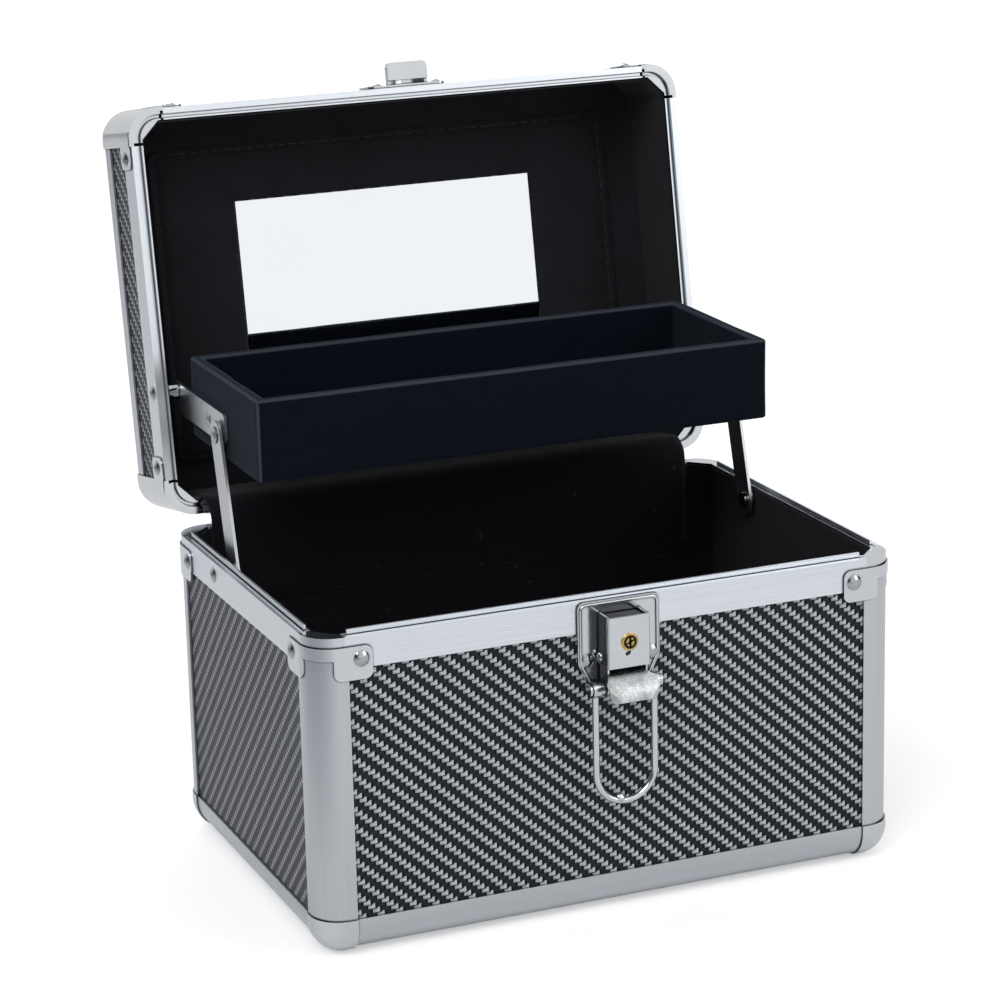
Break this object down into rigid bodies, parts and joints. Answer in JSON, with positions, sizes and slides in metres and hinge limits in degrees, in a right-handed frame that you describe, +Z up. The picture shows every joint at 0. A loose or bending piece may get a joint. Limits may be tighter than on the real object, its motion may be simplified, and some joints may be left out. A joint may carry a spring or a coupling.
{
  "type": "makeup storage case",
  "caption": "Hard-sided makeup case: aluminium-framed carbon-look box, hinged mirror lid with folding handle, lift-up velvet tray on swing arms and a keyed draw latch",
  "frame": {"origin": "on the table under the middle of the box, between its four feet", "axes": "+X to the right of someone facing the latch, +Y to the back, where the hinges are, +Z up"},
  "size_m": [0.2542, 0.2691, 0.3113],
  "materials": {
    "aluminium": "satin, brushed along the profile",
    "chrome": "polished plating",
    "steel": "satin nickel plated strip",
    "carbon_board": "carbon twill printed laminate, satin",
    "lining": "black lining cloth",
    "velvet": "black velvet",
    "mirror": "silvered glass",
    "brass": "bright brass",
    "grip": "black moulded grip"
  },
  "bodies": {
    "base": {"arm_pivot_studs": "steel", "base_back_panel": "carbon_board", "base_floor_panel": "carbon_board", "base_foot_corners": "chrome", "base_foot_rail_back": "aluminium", "base_foot_rail_front": "aluminium", "base_foot_rail_left": "aluminium", "base_foot_rail_right": "aluminium", "base_front_panel": "carbon_board", "base_left_panel": "carbon_board", "base_lining": "lining", "base_right_panel": "carbon_board", "base_rim_back": "aluminium", "base_rim_corners": "chrome", "base_rim_front": "aluminium", "base_rim_left": "aluminium", "base_rim_right": "aluminium", "base_rivets": "chrome", "base_upright_back_left": "aluminium", "base_upright_back_right": "aluminium", "base_upright_front_left": "aluminium", "base_upright_front_right": "aluminium", "hinge_base_leaves": "steel", "hinge_flap_base": "lining", "hinge_pins": "steel", "latch_pin": "chrome", "latch_plate": "chrome", "lock_housing": "chrome"},
    "lift_arm_left": {"lift_arm_left": "steel"},
    "lift_arm_right": {"lift_arm_right": "steel"},
    "tray": {"tray_shell": "velvet", "tray_bar_left": "steel", "tray_bar_right": "steel", "tray_rivets": "steel"},
    "latch_lever": {"latch_lever": "chrome"},
    "latch_bail": {"latch_bail": "chrome"},
    "key_cylinder": {"key_cylinder": "brass"},
    "handle": {"handle_grip": "grip"},
    "lid": {"handle_brackets": "chrome", "hinge_flap_lid": "lining", "hinge_lid_leaves": "steel", "lid_back_panel": "carbon_board", "lid_catch": "chrome", "lid_corners": "chrome", "lid_front_panel": "carbon_board", "lid_left_panel": "carbon_board", "lid_lining": "lining", "lid_right_panel": "carbon_board", "lid_rim_back": "aluminium", "lid_rim_front": "aluminium", "lid_rim_left": "aluminium", "lid_rim_right": "aluminium", "lid_rivets": "chrome", "lid_top_edge_back": "aluminium", "lid_top_edge_front": "aluminium", "lid_top_edge_left": "aluminium", "lid_top_edge_right": "aluminium", "lid_top_panel": "carbon_board", "mirror": "mirror", "tray_pivot_studs": "steel"}
  },
  "joints": [
    {"name": "lid_hinge", "type": "hinge", "parent": "base", "child": "lid", "pos_m": [0, 0.089, 0.13], "axis": [1, 0, 0], "range_deg": [0, 100]},
    {"name": "left_arm_pivot", "type": "hinge", "parent": "base", "child": "lift_arm_left", "pos_m": [-0.115, 0.0318, 0.12425], "axis": [1, 0, 0], "range_deg": [0, 100]},
    {"name": "right_arm_pivot", "type": "hinge", "parent": "base", "child": "lift_arm_right", "pos_m": [0.115, 0.0318, 0.12425], "axis": [1, 0, 0], "range_deg": [0, 100]},
    {"name": "tray_pivot", "type": "hinge", "parent": "lift_arm_left", "child": "tray", "pos_m": [-0.114, 0.04735, 0.17815], "axis": [1, 0, 0], "range_deg": [-100, 0]},
    {"name": "latch_lever_pivot", "type": "hinge", "parent": "base", "child": "latch_lever", "pos_m": [0.0012, -0.091, 0.0955], "axis": [1, 0, 0], "range_deg": [0, 80]},
    {"name": "latch_bail_pivot", "type": "hinge", "parent": "base", "child": "latch_bail", "pos_m": [0.0012, -0.091, 0.0955], "axis": [1, 0, 0], "range_deg": [-180, 6]},
    {"name": "key_turn", "type": "hinge", "parent": "base", "child": "key_cylinder", "pos_m": [0.0012, -0.0962, 0.1148], "axis": [0, -1, 0], "range_deg": [0, 90]},
    {"name": "handle_pivot", "type": "hinge", "parent": "lid", "child": "handle", "pos_m": [0, 0.15793, 0.20822], "axis": [1, 0, 0], "range_deg": [-13, 173]}
  ],
  "couplings": [
    {"joint": "left_arm_pivot", "follows": "lid_hinge", "ratio": 1},
    {"joint": "right_arm_pivot", "follows": "lid_hinge", "ratio": 1},
    {"joint": "tray_pivot", "follows": "lid_hinge", "ratio": -1}
  ]
}
